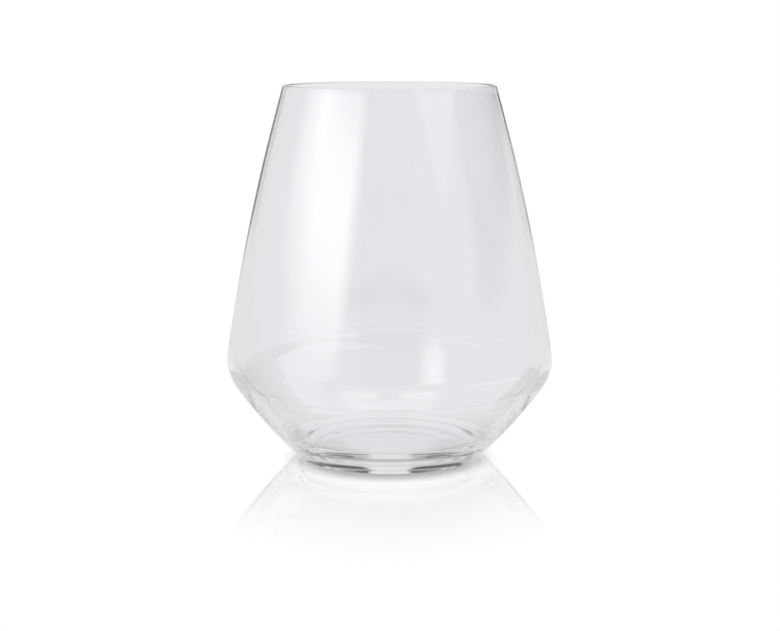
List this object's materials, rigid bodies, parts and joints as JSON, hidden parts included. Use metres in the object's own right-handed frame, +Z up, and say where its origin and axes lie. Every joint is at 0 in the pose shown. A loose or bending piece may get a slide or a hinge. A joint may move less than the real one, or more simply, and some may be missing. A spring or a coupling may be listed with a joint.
{
  "type": "stemless wine glass",
  "caption": "Clear one-piece stemless wine glass: wide low belly, long taper to a round lip, thick flat foot.",
  "frame": {"origin": "middle of the foot, on the plane that the glass stands on", "axes": "+Z up along the axis of the glass, from the foot to the lip; X and Y are alike"},
  "size_m": [0.1012, 0.1012, 0.115],
  "materials": {
    "clear_glass": "fire polished, clear with a faint cool violet cast"
  },
  "bodies": {
    "root": {"glass": "clear_glass"}
  },
  "joints": []
}
